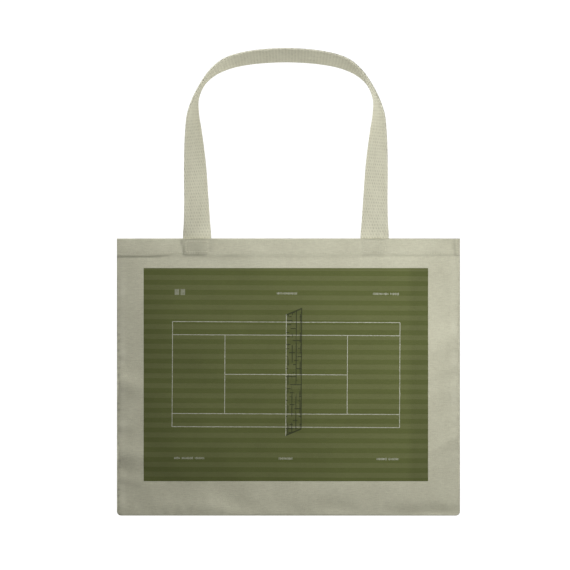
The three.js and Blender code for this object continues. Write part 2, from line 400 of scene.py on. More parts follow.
def side_folds(side, end, x, z):
    """Folds and small puckers where the cloth is drawn up by one side seam."""
    edge, drop = from_seam(end, x), RIM - z
    folds = 0
    for middle, height, width, reach in SIDE_FOLDS[side, end]:
        shape = hump(drop - FOLD_LEAN[end] * edge, middle * MM, width * MM)
        folds = folds + height * MM * shape * np.exp(-((edge / (reach * MM)) ** 1.5))
    below_hem = smooth(HEM_DEPTH, HEM_DEPTH + 60 * MM, drop)
    pucker = SIDE_PUCKERS[side, end](x, z) * np.exp(-edge / (6 * MM)) * (0.25 + 0.75 * below_hem)
    ridge = ALLOWANCE_RIDGE * hump(edge, 6 * MM, 2.6 * MM) * smooth(HEM_DEPTH, HEM_DEPTH + 6 * MM, drop)
    return folds + SIDE_PUCKER_HEIGHT[end] * pucker + ridge


def hem_line(side, x):
    """Drop of the hem's lower edge below the rim, and how strongly it shows, from 0 to 1."""
    u = -side * x
    sag = 1.4 * smooth(-128 * MM, -160 * MM, u) - 0.9 * hump(u, -130 * MM, 12 * MM)
    waver = 0.25 * np.sin(x / (31 * MM) + side) + 0.15 * np.sin(x / (11 * MM))
    strength = 0.16 + 0.84 * smooth(-127 * MM, -150 * MM, u) + 0.35 * hump(u, -62 * MM, 12 * MM)
    return HEM_DEPTH + (sag + waver - 0.9) * MM, strength + 0.28 * smooth(112 * MM, 135 * MM, u)


def inside_strap(end, x):
    """Distance in from the sides of a strap end's imprint, negative beyond them."""
    start, stop = (end * STRAP_X + reach for reach in IMPRINT_SPAN)
    return np.minimum(x - start, stop - x)


def strap_imprint(end, x, z):
    """1 where a strap end stands out through the hem, and 0 away from it."""
    beside = smooth(-IMPRINT_EDGE, IMPRINT_EDGE, inside_strap(end, x))
    return beside * smooth(HEM_DEPTH + 1 * MM, HEM_DEPTH - 3 * MM, RIM - z)


def imprint_foot(end, x, z):
    """1 along the lower edge of a strap end's imprint."""
    beside = smooth(-2 * MM, 2 * MM, inside_strap(end, x))
    return beside * hump(RIM - z, HEM_DEPTH - 0.6 * MM, 1.6 * MM)


def creases(side, x, z):
    """Each crease's shape, 1 on its line, with its depth."""
    for x0, drop0, x1, drop1, width, depth in CREASES[side]:
        start, run = np.array([x0, -drop0]) * MM, np.array([x1 - x0, drop0 - drop1]) * MM
        along = np.clip(((x - start[0]) * run[0] + (z - RIM - start[1]) * run[1]) / (run @ run), 0, 1)
        away = np.hypot(x - start[0] - along * run[0], z - RIM - start[1] - along * run[1])
        yield hump(away, 0, width * MM), depth * MM


def relief(side, x, z):
    """How far the cloth stands out from its plain shape."""
    drop, rise = RIM - z, z - BOTTOM
    from_side = from_nearer_side(x)
    inside = smooth(0, 30 * MM, from_side) * smooth(0, 30 * MM, rise)
    on_field = 1 - 0.8 * smooth(HEM_DEPTH + 6 * MM, HEM_DEPTH, drop)
    height = SOFT_FOLD_HEIGHT * inside * on_field * SOFT_FOLDS[side](x, z)
    height += DENT_HEIGHT * SMALL_DENTS[side](x, z)
    height += BOTTOM_PUCKER_HEIGHT * np.exp(-rise / (16 * MM)) * BOTTOM_PUCKERS[side](x, z)
    low_fold = BOTTOM_FOLD_HEIGHT * smooth(0, 14 * MM, rise) * np.exp(-rise / (45 * MM))
    height += low_fold * BOTTOM_FOLDS[side](x, z)
    height -= TUCK_DEPTH * hump(-side * x, TUCK_X, TUCK_WIDTH) * hump(rise, 7 * MM, 7 * MM)
    line, strength = hem_line(side, x)
    pillow = hump(drop, 0.45 * HEM_DEPTH, 0.45 * HEM_DEPTH)
    height += pillow * MM * (0.2 + 0.3 * HEM_DENTS[side](x, z))
    step = smooth(line + 2 * MM, line - 1 * MM, drop) - hump(drop, 0, 12 * MM)
    height += HEM_STEP_HEIGHT * strength * step
    height -= HEM_GROOVE * strength * hump(drop, line + 0.9 * MM, 1.6 * MM)
    height -= STITCH_GROOVE * hump(drop, RIM - STITCH_Z, 0.9 * MM)
    for end in (LEFT, RIGHT):
        height += side_folds(side, end, x, z) + IMPRINT_HEIGHT[end] * strap_imprint(end, x, z)
    for shape, depth in creases(side, x, z):
        height -= depth * shape
    return height * smooth(0, 2.5 * MM, from_side) * smooth(0, 3 * MM, rise)


def tone(side, x, z):
    """How much lighter, or darker if negative, the cloth is: lighter along the rim, with a painted
    highlight on the ridges over the seams, and darker by painted shade in the creases, along the hem
    line, at the edges, over the tuck, the strap imprints and the puckers by the seams, and by the
    tacks' marks."""
    drop, rise = RIM - z, z - BOTTOM
    from_side = from_nearer_side(x)
    below_hem = smooth(HEM_DEPTH - 4 * MM, HEM_DEPTH + 20 * MM, drop)
    patches = 0.3 + 0.7 * smooth(-0.4, 1.2, SOFT_FOLDS[side](x, 3 * z))
    rubbed_and_highlight = LIGHTER_RIM * hump(drop, 0, 1.2 * MM)
    # Painted highlight, in patches, on the ridge that each seam allowance raises.
    rubbed_and_highlight += SEAM_HIGHLIGHT * hump(from_side, 7 * MM, 4 * MM) * below_hem * patches
    line, strength = hem_line(side, x)
    # Painted shadow where the bottom turns under.
    painted_shade_and_tacks = SHADOW_TUCK * hump(-side * x, TUCK_X, TUCK_WIDTH) * hump(rise, 8 * MM, 6 * MM)
    # Painted shade under the hem's lower edge.
    painted_shade_and_tacks += SHADE_HEM_LINE * strength * hump(drop, line + 0.9 * MM, 1.5 * MM)
    # Painted shade where the cloth rolls away at its edges.
    painted_shade_and_tacks += SHADE_EDGE * hump(np.minimum(from_side, rise), 0, 1 * MM)
    for end in (LEFT, RIGHT):
        # Painted shade along the rim beside each strap.
        painted_shade_and_tacks += SHADE_RIM * hump(drop, 1 * MM, 0.8 * MM) * hump(x, end * STRAP_X, 20 * MM)
        # Painted shade over each strap end's imprint, mottled, and a darker painted shadow along its
        # lower edge.
        mottled = 0.9 + 0.5 * SMALL_DENTS[side](x, z)
        painted_shade_and_tacks += SHADE_IMPRINT[end] * strap_imprint(end, x, z) * mottled
        painted_shade_and_tacks += FOOT_SHADOW_RATIO * SHADE_IMPRINT[end] * imprint_foot(end, x, z)
        # Painted shade in the small puckers beside each side seam.
        tick = smooth(0.1, 1.3, SEAM_TICKS(end * x, z)) * smooth(60 * MM, 110 * MM, drop)
        painted_shade_and_tacks += SHADE_TICKS[end] * tick * hump(from_seam(end, x), 2 * MM, 2.5 * MM)
    tack = smooth(0.1, 0.9, np.sin(z / TACK_WAVE)) * hump(from_side, 2.6 * MM, 0.6 * MM)
    painted_shade_and_tacks += GREY_TACKS * tack * (drop < HEM_DEPTH) * (side * x < 0)
    # Painted shade in the creases.
    for shape, depth in creases(side, x, z):
        painted_shade_and_tacks += shape * depth / MM
    return rubbed_and_highlight - painted_shade_and_tacks


def outer_face(side, x, z):
    """Distance of a panel's outer face from the mid-plane."""
    from_side = from_nearer_side(x)
    rise = z - BOTTOM
    flank_width = HALF_WIDTH - FLAT_HALF_WIDTH
    flank = np.clip((flank_width - from_side) / flank_width, 0, 1)
    up = np.clip(rise / BOTTOM_ROUNDING, 0, 1)
    bulge = BULGE * (1 - flank**2) * (1 - (1 - up) ** 2)
    swell = HEM_SWELL * smooth(-HEM_DEPTH - 3 * MM, -HEM_DEPTH, z - RIM) * (1 - flank)
    inwards = 1 - np.clip(np.minimum(from_side, rise) / ROLL, 0, 1)
    roll = ROLL_START + (EDGE_OFFSET - ROLL_START) * np.sqrt(1 - inwards**2)
    return roll + bulge + swell + relief(side, x, z)


def on_cloth(side, x, z, lift=0.0):
    """The point of the cloth at flat place (x, z), lifted off its outer face."""
    x, z = np.broadcast_arrays(np.asarray(x, float), np.asarray(z, float))
    narrowing = 1 - corner_inset(z) / HALF_WIDTH
    place_x = CENTRE_X + (x - CENTRE_X) * narrowing
    return np.stack([place_x, side * (outer_face(side, x, z) + lift), z], -1)


# ---- Materials ----

# The dark that painted shade and the tacks' marks draw the cloth towards.
SHADE_AND_TACK_GREY = (0.17, 0.165, 0.115, 1)
CANVAS_DARK, CANVAS_LIGHT = (0.50, 0.485, 0.365, 1), (0.70, 0.69, 0.535, 1)
CANVAS_RUBBED_AND_HIGHLIGHT, CANVAS_FLECK = (0.80, 0.79, 0.64, 1), (0.30, 0.27, 0.17, 1)
WEBBING_DARK, WEBBING_LIGHT = (0.505, 0.49, 0.372, 1), (0.775, 0.76, 0.602, 1)
WEBBING_RUBBED = (0.84, 0.83, 0.69, 1)
THREAD_DARK, THREAD_LIGHT = (0.56, 0.545, 0.42, 1), (0.88, 0.87, 0.73, 1)
INK_LIGHT, INK_DARK = (0.142, 0.156, 0.0575, 1), (0.113, 0.1305, 0.0385, 1)
LINE_WHITE = (0.60, 0.60, 0.51, 1)
NET_SHADE, NET_CORD = (0.03, 0.035, 0.015, 1), (0.035, 0.04, 0.018, 1)


class Shader:
    """A material being made, by methods that add nodes to it."""

    def __init__(self, name):
        self.material = bpy.data.materials.new(name)
        self.material.use_nodes = True
        self.tree = self.material.node_tree
        self.surface = self.tree.nodes["Principled BSDF"]

    def put(self, socket, value):
        if isinstance(value, bpy.types.NodeSocket):
            self.tree.links.new(value, socket)
        else:
            socket.default_value = value

    def node(self, kind, inputs, **settings):
        made = self.tree.nodes.new(kind)
        for key, value in settings.items():
            setattr(made, key, value)
        for key, value in inputs.items():
            self.put(made.inputs[key], value)
        return made

    def math(self, operation, *values):
        return self.node("ShaderNodeMath", dict(enumerate(values)), operation=operation).outputs[0]

    def add(self, first, *others):
        for other in others:
            first = self.math("ADD", first, other)
        return first

    def times(self, first, *others):
        for other in others:
            first = self.math("MULTIPLY", first, other)
        return first

    def scaled(self, *pairs):
        return [self.times(value, weight) for value, weight in pairs]

    def largest(self, first, *others):
        for other in others:
            first = self.math("MAXIMUM", first, other)
        return first

    def near(self, value, centre, reach):
        """1 where value is within reach of centre, else 0."""
        return self.math("COMPARE", value, centre, reach)

    def between(self, value, low, high):
        return self.near(value, (low + high) / 2, abs(high - low) / 2)

    def wave(self, value, length):
        return self.math("SINE", self.times(value, 2 * math.pi / length))

    def noise(self, place, rates, detail=2.0, roughness=0.5, centred=True):
        """Noise of about that many periods to a metre along each axis of place, from about -0.5
        to 0.5, or 0 to 1."""
        inputs = {0: place, 1: (*rates, 1.0)[:3]}
        stretched = self.node("ShaderNodeVectorMath", inputs, operation="MULTIPLY").outputs[0]
        inputs = {"Vector": stretched, "Scale": 1.0, "Detail": detail, "Roughness": roughness}
        made = self.node("ShaderNodeTexNoise", inputs).outputs[0]
        return self.math("SUBTRACT", made, 0.5) if centred else made

    def mix(self, factor, low, high):
        made = self.node("ShaderNodeMix", {0: factor, 6: low, 7: high}, data_type="RGBA")
        return made.outputs[2]

    def attribute(self, name):
        return self.node("ShaderNodeAttribute", {}, attribute_name=name)

    def weave(self):
        """The place in the cloth as a vector, and its two parts along the cloth."""
        place = self.attribute("weave").outputs["Vector"]
        parts = self.node("ShaderNodeSeparateXYZ", {0: place}).outputs
        return place, parts[0], parts[1]

    def toned(self, colour, light, dark):
        """The colour drawn towards light or dark, by the mesh's tone."""
        tone = self.attribute("tone").outputs["Fac"]
        lighter = self.mix(self.largest(tone, 0.0), colour, light)
        return self.mix(self.largest(self.times(tone, -1.0), 0.0), lighter, dark)

    def finish(self, colour, roughness, height, depth):
        """Sets the colour, the roughness and a bump of that depth in metres."""
        self.put(self.surface.inputs["Base Color"], colour)
        self.put(self.surface.inputs["Roughness"], roughness)
        bump = self.node("ShaderNodeBump", {"Strength": 1.0, "Distance": depth, "Height": height})
        self.put(self.surface.inputs["Normal"], bump.outputs[0])
        self.surface.inputs["Specular IOR Level"].default_value = 0.25
        return self.material


CANVAS_THREAD = 1.15 * MM  # two threads of the canvas's plain weave


def plain_weave(s, across, up):
    """Height of a plain weave, from -1 to 1."""
    return s.times(s.wave(across, CANVAS_THREAD), s.wave(up, CANVAS_THREAD))


def canvas_grain(s, place):
    """Uneven threads: long slubs across the cloth, a fine grain and broad clouds."""
    slub = s.noise(place, (130, 700), 3.0, 0.6)
    warp = s.noise(place, (700, 170))
    grain = s.noise(place, (950, 950), 2.0, 0.6)
    cloud = s.noise(place, (26, 30), 3.0, 0.5)
    return slub, warp, grain, cloud


def canvas_material():
    s = Shader("canvas")
    place, across, up = s.weave()
    slub, warp, grain, cloud = canvas_grain(s, place)
    shade = s.add(0.5, *s.scaled((slub, 1.1), (warp, 0.4), (grain, 0.9), (cloud, 0.6)))
    colour = s.mix(shade, CANVAS_DARK, CANVAS_LIGHT)
    fleck = s.noise(place, (330, 900), 1.0, 0.5, centred=False)
    fleck = s.math("GREATER_THAN", fleck, 0.745)
    colour = s.mix(s.times(fleck, 0.35), colour, CANVAS_FLECK)
    # Tone makes the canvas lighter along the rim, at rubbed raw edges and by painted highlight, and
    # darker by painted shade and the tacks' marks.
    colour = s.toned(colour, CANVAS_RUBBED_AND_HIGHLIGHT, SHADE_AND_TACK_GREY)
    height = s.add(*s.scaled((plain_weave(s, across, up), 0.5), (slub, 1.4), (grain, 1.2)))
    roughness = s.add(0.93, s.times(grain, 0.12))
    material = s.finish(colour, roughness, height, 0.11 * MM)
    s.surface.inputs["Sheen Weight"].default_value = 0.08
    s.surface.inputs["Sheen Roughness"].default_value = 0.6
    return material


DASH_ACROSS = 3.2 * MM  # from one sunken dash of the webbing to the next
DASH_ALONG = 3.7 * MM


def webbing_material():
    """Cotton webbing: staggered rows of short sunken dashes between the ribs."""
    s = Shader("webbing")
    place, across, along = s.weave()
    row = s.math("DIVIDE", along, DASH_ALONG)
    in_row = s.math("FRACT", row)
    odd = s.times(s.math("FLOORED_MODULO", s.math("FLOOR", row), 2.0), 0.5)
    column = s.add(s.math("DIVIDE", across, DASH_ACROSS), odd, s.times(in_row, 0.22))
    in_column = s.math("FRACT", s.add(column, 100.0))
    dash = s.times(
        s.math("POWER", s.math("SINE", s.times(in_column, math.pi)), 3.0),
        s.math("POWER", s.math("SINE", s.times(in_row, math.pi)), 1.5),
        s.add(1.0, s.times(s.noise(place, (210, 190), 1.0, 0.5), 2.4)),
    )
    rib = s.wave(across, DASH_ACROSS / 4)
    pick = s.wave(along, DASH_ALONG / 4)
    grain = s.noise(place, (1000, 800), 2.0, 0.6)
    streak = s.noise(place, (450, 30))
    cloud = s.noise(place, (60, 22))
    shade = s.add(0.66, *s.scaled((dash, -0.52), (grain, 0.6), (streak, 0.35), (cloud, 0.4)))
    colour = s.mix(shade, WEBBING_DARK, WEBBING_LIGHT)
    colour = s.toned(colour, WEBBING_RUBBED, SHADE_AND_TACK_GREY)
    height = s.add(*s.scaled((dash, -1.1), (rib, 0.15), (pick, 0.15), (grain, 0.15)))
    roughness = s.add(0.9, s.times(grain, 0.15))
    return s.finish(colour, roughness, height, 0.06 * MM)


def thread_material():
    """Twisted cotton thread."""
    s = Shader("thread")
    place, along, around = s.weave()
    twist = s.math("SINE", s.add(*s.scaled((along, 9000.0), (around, 2 * math.pi))))
    grain = s.noise(place, (1500, 40, 3.7))
    shade = s.add(0.6, *s.scaled((twist, 0.25), (grain, 0.8)))
    colour = s.mix(shade, THREAD_DARK, THREAD_LIGHT)
    roughness = s.add(0.7, s.times(grain, 0.2))
    return s.finish(colour, roughness, s.add(twist, grain), 0.05 * MM)


# The printed court. Its drawing is in its own metres: right of and above the court's centre.
STRIPE_PERIOD = 11.45 * MM
STRIPE_FIRST = 3 * MM  # the first dark stripe's distance from the print's top edge
COURT_SHIFT = 0.25 * MM  # how far the court's centre is right of the print's middle
COURT_DROP = 123.9 * MM  # and below the print's top edge
COURT_CENTRE = ((PRINT_LOW.x + PRINT_HIGH.x) / 2 + COURT_SHIFT, PRINT_HIGH.z - COURT_DROP)
COURT_HALF_LENGTH = 132.3 * MM
COURT_SCALE = COURT_HALF_LENGTH / (23.77 / 2)  # a real court is 23.77 m long
COURT_HALF_WIDTH = 10.97 / 2 * COURT_SCALE
SINGLES_HALF_WIDTH = 8.23 / 2 * COURT_SCALE
SERVICE_DISTANCE = 6.4 * COURT_SCALE
LINE_HALF_WIDTH = 0.36 * MM
DESIGN_TILT = 0.005  # the drawing is turned this much on its straight-edged film, in radians
NET_WIDTH = 18.4 * MM
NET_SLANT = 7.9 * MM
NET_TOP = 70.2 * MM
NET_BOTTOM = -71.6 * MM
NET_BAND = 1.3 * MM
NET_END_BAND = 1.4 * NET_BAND
NET_MESH = 4.65 * MM
NET_CORD_HALF_WIDTH = 0.5 * MM
INK_DARKENS = (138 * MM, 150 * MM)  # right of the court's centre the ink darkens from here to here
INK_DARKENING = 0.13


def court_lines(s, x, z):
    """1 on the court's painted lines."""
    def flat(height, left, right):
        return s.times(s.near(z, height, LINE_HALF_WIDTH), s.between(x, left, right))

    def upright(place, low, high):
        return s.times(s.near(x, place, LINE_HALF_WIDTH), s.between(z, low, high))

    length, width, singles = COURT_HALF_LENGTH, COURT_HALF_WIDTH, SINGLES_HALF_WIDTH
    service = SERVICE_DISTANCE
    lines = [flat(height, -length, length) for height in (-width, width, -singles, singles)]
    lines += [upright(place, -width, width) for place in (-length, length)]
    lines += [upright(place, -singles, singles) for place in (-service, service)]
    lines.append(flat(0, -service, service))
    return s.largest(*lines)


def net(s, x, z):
    """The net seen from one end, leaning across the middle: its tapes and cords, and its inside."""
    slanted = s.math("SUBTRACT", z, s.times(x, NET_SLANT / NET_WIDTH))
    across = s.between(x, 0, NET_WIDTH)
    inside = s.times(across, s.between(slanted, NET_BOTTOM, NET_TOP))
    tape = s.largest(
        s.between(slanted, NET_TOP - NET_END_BAND, NET_TOP),
        s.between(slanted, NET_BOTTOM, NET_BOTTOM + NET_END_BAND),
        s.between(x, NET_WIDTH - NET_BAND, NET_WIDTH),
    )
    cell = NET_MESH / 2
    upright = s.near(s.math("FLOORED_MODULO", x, NET_MESH), cell, NET_CORD_HALF_WIDTH)
    level = s.near(s.math("FLOORED_MODULO", z, NET_MESH), cell, NET_CORD_HALF_WIDTH)
    place = s.node("ShaderNodeCombineXYZ", {0: x, 1: z}).outputs[0]
    gap_up = s.noise(place, (300, 62), 1.0, 0.5)
    gap_level = s.noise(place, (130, 220), 1.0, 0.5)
    upright = s.times(upright, s.math("GREATER_THAN", gap_up, -0.01))
    level = s.times(level, s.math("GREATER_THAN", gap_level, 0.03))
    post = s.times(s.near(x, 0, LINE_HALF_WIDTH), s.between(z, NET_BOTTOM, NET_TOP))
    return inside, s.times(inside, s.largest(s.times(tape, 0.85), upright, level)), post


# Rows of plain marks above and below the court: the row's left end and its height above the
# court's centre, and the width of each group of marks, in millimetres.
CAPTIONS = [
    (-11.5, 94.4, [24]), (100.5, 94.4, [18, 11]),
    (-130, -97.7, [7, 14, 11]), (-8, -97.7, [16]), (106, -97.7, [12, 12]),
]
CAPTION_GAP = 1.6 * MM
STROKE_PITCH = 1.5 * MM
STROKE_HALF_WIDTH = 0.42 * MM
STROKE_HALF_HEIGHT = 1.15 * MM
STROKE_UNEVENNESS = 2.6 * MM
BLOCKS = [(-130, 5.2), (-123.2, 5.2)]  # left end and width, in millimetres
BLOCK_HEIGHTS = (92, 99)


def captions(s, x, z):
    """Short strokes in groups, and two plain blocks."""
    place = s.node("ShaderNodeCombineXYZ", {0: x, 1: z}).outputs[0]
    uneven = s.times(s.noise(place, (700, 30), 1.0, 0.5), STROKE_UNEVENNESS)
    reach = s.add(STROKE_HALF_HEIGHT, uneven)
    groups = []
    for left, height, widths in CAPTIONS:
        start = left * MM
        for width in widths:
            columns = s.between(x, start, start + width * MM)
            groups.append(s.times(columns, s.near(z, height * MM, reach)))
            start += width * MM + CAPTION_GAP
    turn = s.math("FLOORED_MODULO", s.add(x, 1.0), STROKE_PITCH)
    strokes = s.times(s.largest(*groups), s.near(turn, STROKE_PITCH / 2, STROKE_HALF_WIDTH))
    low, high = (height * MM for height in BLOCK_HEIGHTS)
    blocks = [
        s.times(s.between(x, left * MM, (left + width) * MM), s.between(z, low, high))
        for left, width in BLOCKS
    ]
    return s.largest(s.times(strokes, 0.8), s.times(s.largest(*blocks), 0.45))


def print_material():
    """Ink screen-printed on the canvas, whose weave shows through it."""
    s = Shader("print_ink")
    place, across, up = s.weave()
    slub, warp, grain, cloud = canvas_grain(s, place)
    right = s.math("SUBTRACT", across, COURT_CENTRE[0])
    above = s.math("SUBTRACT", up, COURT_CENTRE[1])
    x = s.math("SUBTRACT", right, s.times(above, DESIGN_TILT))
    z = s.add(above, s.times(right, DESIGN_TILT))
    drop = s.math("SUBTRACT", PRINT_HIGH.z - STRIPE_FIRST - COURT_CENTRE[1], z)
    turn = s.math("FRACT", s.add(s.math("DIVIDE", drop, STRIPE_PERIOD), 1.0))
    dark_stripe = s.math("LESS_THAN", s.add(turn, s.times(grain, 0.05)), 0.5)
    ink = s.mix(dark_stripe, INK_LIGHT, INK_DARK)
    wobble = s.times(s.noise(place, (160, 160), 2.0, 0.6), 0.45 * MM)
    x, z = s.add(x, wobble), s.add(z, wobble)
    inside, cords, post = net(s, x, z)
    ink = s.mix(s.times(inside, 0.15), ink, NET_SHADE)
    lines = s.largest(court_lines(s, x, z), post, captions(s, x, z))
    patchy = s.add(0.78, s.times(s.noise(place, (420, 420), 1.0, 0.5), 1.1))
    colour = s.mix(s.math("MINIMUM", s.times(lines, patchy), 1.0), ink, LINE_WHITE)
    colour = s.mix(s.times(cords, 0.9), colour, NET_CORD)
    # The ink is darker near the print's right edge.
    first, last = INK_DARKENS
    inputs = {0: right, 1: first, 2: last, 3: 0.0, 4: -INK_DARKENING}
    darker_edge = s.node("ShaderNodeMapRange", inputs, interpolation_type="SMOOTHSTEP").outputs[0]
    # The term in right is painted light: the ink is lighter towards the right, where more light falls,
    # and darker towards the left.
    uneven = s.scaled((right, 0.45), (slub, 0.22), (grain, 0.3), (cloud, 0.16), (warp, 0.08))
    inputs = {0: 1.0, 6: colour, 7: s.add(1.0, darker_edge, *uneven)}
    shaded = s.node("ShaderNodeMix", inputs, data_type="RGBA", blend_type="MULTIPLY")
    height = s.add(*s.scaled((plain_weave(s, across, up), 0.5), (slub, 1.2), (grain, 1.0)))
    roughness = s.add(0.82, s.times(grain, 0.2))
    return s.finish(shaded.outputs[2], roughness, height, 0.085 * MM)


CANVAS_FINISH = canvas_material()
WEBBING_FINISH = webbing_material()
THREAD_FINISH = thread_material()
PRINT_FINISH = print_material()


# ---- Panels ----

NEAR_EDGE = np.array([0, 0.15, 0.45, 0.9, 1.5, 2.2, 3, 4.2, 6]) * MM  # points in from an edge
STEP = 2.6 * MM
HEM_STEP = 0.8 * MM
SPLIT_STEP = 0.3 * MM  # beside the middle, where a panel's two halves meet
INNER_PATTERN_SHIFT = 0.5  # the inner face shows another part of the weave's pattern
RIM_RADIUS = HEM_THICKNESS / 2
RIM_TURNS = np.radians([0, 20, 38, 54, 68, 79, 86])


def panel_columns(end):
    """Columns of one half of a panel, from its side edge to the middle."""
    edge = CENTRE_X + end * HALF_WIDTH
    print_edge = PRINT_LOW.x if end == LEFT else PRINT_HIGH.x
    near = edge - end * NEAR_EDGE
    split = CENTRE_X + end * SPLIT_STEP
    plain, printed = steps(near[-1], print_edge, STEP), steps(print_edge, split, STEP)
    return chain(near, plain, printed, np.array([split, CENTRE_X]))


def panel_rows():
    """Rows of a panel below the fold of its rim, from the bottom up."""
    near = BOTTOM + NEAR_EDGE
    below_hem = RIM - HEM_DEPTH - 6 * MM
    return chain(
        near, steps(near[-1], PRINT_LOW.z, STEP), steps(PRINT_LOW.z, PRINT_HIGH.z, STEP),
        steps(PRINT_HIGH.z, below_hem, STEP), steps(below_hem, RIM - RIM_RADIUS, HEM_STEP),
    )


def cloth_half(side, end):
    """One half of a panel with its turned hem, as a solid sheet."""
    columns = panel_columns(end)
    rows = chain(panel_rows(), RIM - RIM_RADIUS + RIM_RADIUS * np.sin(RIM_TURNS))
    x, z = np.meshgrid(columns, rows)
    turn = np.arcsin(np.clip((z - RIM + RIM_RADIUS) / RIM_RADIUS, 0, 1))
    outer = outer_face(side, x, z)
    hem = smooth(HEM_DEPTH + 0.5 * MM, HEM_DEPTH - 0.5 * MM, RIM - z)
    thickness = np.minimum(CANVAS + (HEM_THICKNESS - CANVAS) * hem, outer - 0.05 * MM)
    rounding = thickness / 2 * (1 - np.cos(turn))
    plain = on_cloth(side, x, z)
    faces = []
    for depth in (rounding, thickness - rounding):
        face = plain.copy()
        face[..., 1] = side * (outer - depth)
        faces.append(face)
    flat = [np.stack([at, z, np.full_like(x, side)], -1) for at in (x, x + INNER_PATTERN_SHIFT)]
    tones = out_and_back(tone(side, x, z), np.zeros_like(x))
    name = f"{SIDE_WORDS[side]}_cloth_{END_WORDS[end]}"
    return loft(name, out_and_back(*faces), CANVAS_FINISH, out_and_back(*flat), tones)


def sway(piece):
    """Bakes the piece's transform into its mesh."""
    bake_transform(piece)


STITCH_PITCH = 2.9 * MM
STITCH_LENGTH = 2.2 * MM
STITCH_RADIUS = 0.27 * MM


def stitch_tubes(starts, ends, outwards):
    """Short stitches from point to point: their ends sink in and their middles stand out."""
    rows, around = 7, 8
    t = np.linspace(0, 1, rows)[None, :, None]
    out = np.asarray(outwards, float)
    lift = STITCH_RADIUS * (1.5 * np.sin(math.pi * t) - 0.7)
    line = starts[:, None] * (1 - t) + ends[:, None] * t + out * lift
    along = ends - starts
    along = along / np.linalg.norm(along, axis=1, keepdims=True)
    beside = np.cross(along, out)
    turn = (np.arange(around) + 0.5) / around * 2 * math.pi
    ring = beside[:, None, None] * np.cos(turn)[:, None] + out * np.sin(turn)[:, None]
    return line[:, :, None] + STITCH_RADIUS * ring


def hem_stitches(side, end):
    """One half of the row that holds the hem down."""
    edge = STITCH_LOW.x if end == LEFT else STITCH_HIGH.x
    count = int((abs(edge - CENTRE_X) - STITCH_PITCH / 2) / STITCH_PITCH)
    x = CENTRE_X + end * STITCH_PITCH * (np.arange(count) + 0.5)
    starts = on_cloth(side, x - STITCH_LENGTH / 2, STITCH_Z)
    ends = on_cloth(side, x + STITCH_LENGTH / 2, STITCH_Z)
    tubes = stitch_tubes(starts, ends, (0, side, 0))
    return several_lofts(f"{SIDE_WORDS[side]}_hem_stitches_{END_WORDS[end]}", tubes, THREAD_FINISH)


def strap_frame(end, inset):
    """The middles of the stitches round a strap end's sewn rectangle, and which way each runs."""
    half = (FRAME_HIGH.x - FRAME_LOW.x) / 2 - inset
    top, bottom = FRAME_HIGH.z - inset, FRAME_LOW.z + inset
    corners = [(-half, top), (half, top), (half, bottom), (-half, bottom), (-half, top)]
    middles, runs = [], []
    for (x0, z0), (x1, z1) in zip(corners, corners[1:]):
        count = max(1, round(math.hypot(x1 - x0, z1 - z0) / STITCH_PITCH))
        for n in range(count):
            t = (n + 0.5) / count
            middles.append((end * STRAP_X + x0 + (x1 - x0) * t, z0 + (z1 - z0) * t))
            runs.append((np.sign(x1 - x0), np.sign(z1 - z0)))
    return np.array(middles), np.array(runs)


def handle_stitches(side, end):
    """The rectangle of stitching through the hem and a strap end, seen from outside and inside."""
    middles, runs = strap_frame(end, STITCH_RADIUS)
    halves = runs * STITCH_LENGTH / 2
    first, last = middles - halves, middles + halves
    outer = [on_cloth(side, *p.T) for p in (first, last)]
    outside = stitch_tubes(*outer, (0, side, 0))
    inner_y = side * (STRAP_Y - STRAP_THICKNESS / 2)
    inner = [np.stack([p[:, 0], np.full(len(p), inner_y), p[:, 1]], -1) for p in (first, last)]
    inside = stitch_tubes(*inner, (0, -side, 0))
    name = f"{SIDE_WORDS[side]}_handle_stitches_{END_WORDS[end]}"
    return several_lofts(name, np.concatenate([outside, inside]), THREAD_FINISH)


def add_panel(side):
    word = SIDE_WORDS[side]
    for end in (LEFT, RIGHT):
        cloth = cloth_half(side, end)
        sway(cloth)
        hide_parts(f"{word}_panel", f"{word}_hem")
        row = hem_stitches(side, end)
        sway(row)
        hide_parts(f"{word}_hem_thread")
        frame_stitches = handle_stitches(side, end)
        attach(frame_stitches, word)
        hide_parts(f"{word}_handle_thread_{END_WORDS[end]}")
        if side == FRONT:
            add_print(end)


INK_OUTSIDE, INK_INSIDE = 0.11 * MM, 0.03 * MM  # the film's faces above the cloth
ROUNDING_ERROR = 1e-6


def within(numbers, low, high):
    return numbers[(numbers > low - ROUNDING_ERROR) & (numbers < high + ROUNDING_ERROR)]


def add_print(end):
    """One half of the printed film."""
    columns = within(panel_columns(end), PRINT_LOW.x, PRINT_HIGH.x)
    rows = within(panel_rows(), PRINT_LOW.z, PRINT_HIGH.z)
    x, z = np.meshgrid(columns, rows)
    loops = out_and_back(*(on_cloth(FRONT, x, z, lift) for lift in (INK_OUTSIDE, INK_INSIDE)))
    flat = np.stack([x, z, np.full_like(x, FRONT)], -1)
    name = f"court_print_{END_WORDS[end]}"
    film = loft(name, loops, PRINT_FINISH, out_and_back(flat, flat))
    sway(film)
    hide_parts("court_print")
    return film


# ---- Handles ----

